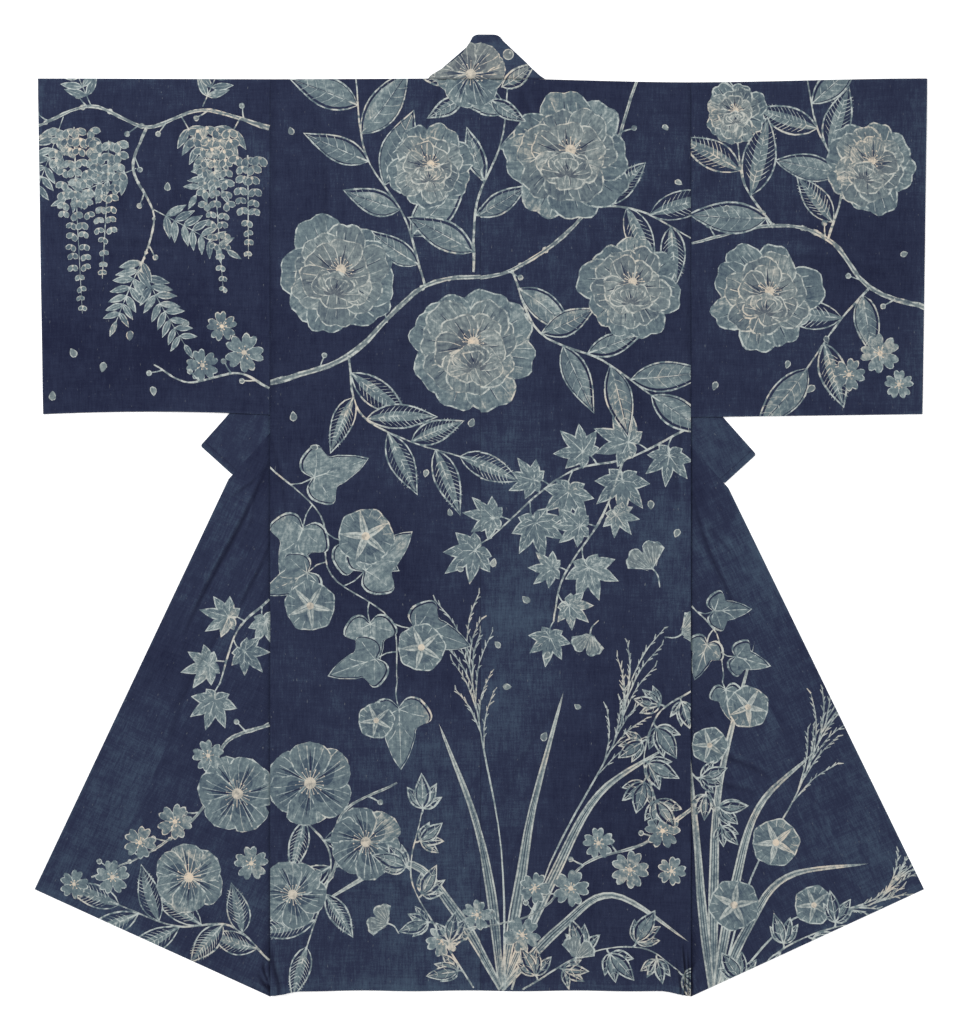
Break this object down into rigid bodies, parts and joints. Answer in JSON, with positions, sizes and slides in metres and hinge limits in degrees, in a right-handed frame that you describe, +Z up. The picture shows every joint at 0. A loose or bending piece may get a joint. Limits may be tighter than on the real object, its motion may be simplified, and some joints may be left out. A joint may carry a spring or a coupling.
{
  "type": "cotton yukata robe",
  "caption": "Cotton yukata robe laid out flat, back up: straight body, wide square sleeves, both fronts turned out from behind as flared wings, collar showing at the neck.",
  "frame": {"origin": "middle of the robe's outline, on the surface that it lies on", "axes": "+Z up from the surface, +Y along the centre back seam towards the collar, +X to the right of someone looking down at the back"},
  "size_m": [1.2851, 1.3846, 0.0045],
  "materials": {
    "indigo_cotton": "matt hand-woven cotton, resist-dyed in indigo",
    "collar_cotton": "matt hand-woven cotton, doubled and worn paler"
  },
  "bodies": {
    "root": {"panel_left": "indigo_cotton", "panel_right": "indigo_cotton", "okumi_left": "indigo_cotton", "okumi_right": "indigo_cotton", "sleeve_left": "indigo_cotton", "sleeve_right": "indigo_cotton", "collar_neck": "collar_cotton", "collar_left": "collar_cotton", "collar_right": "collar_cotton"}
  },
  "joints": []
}
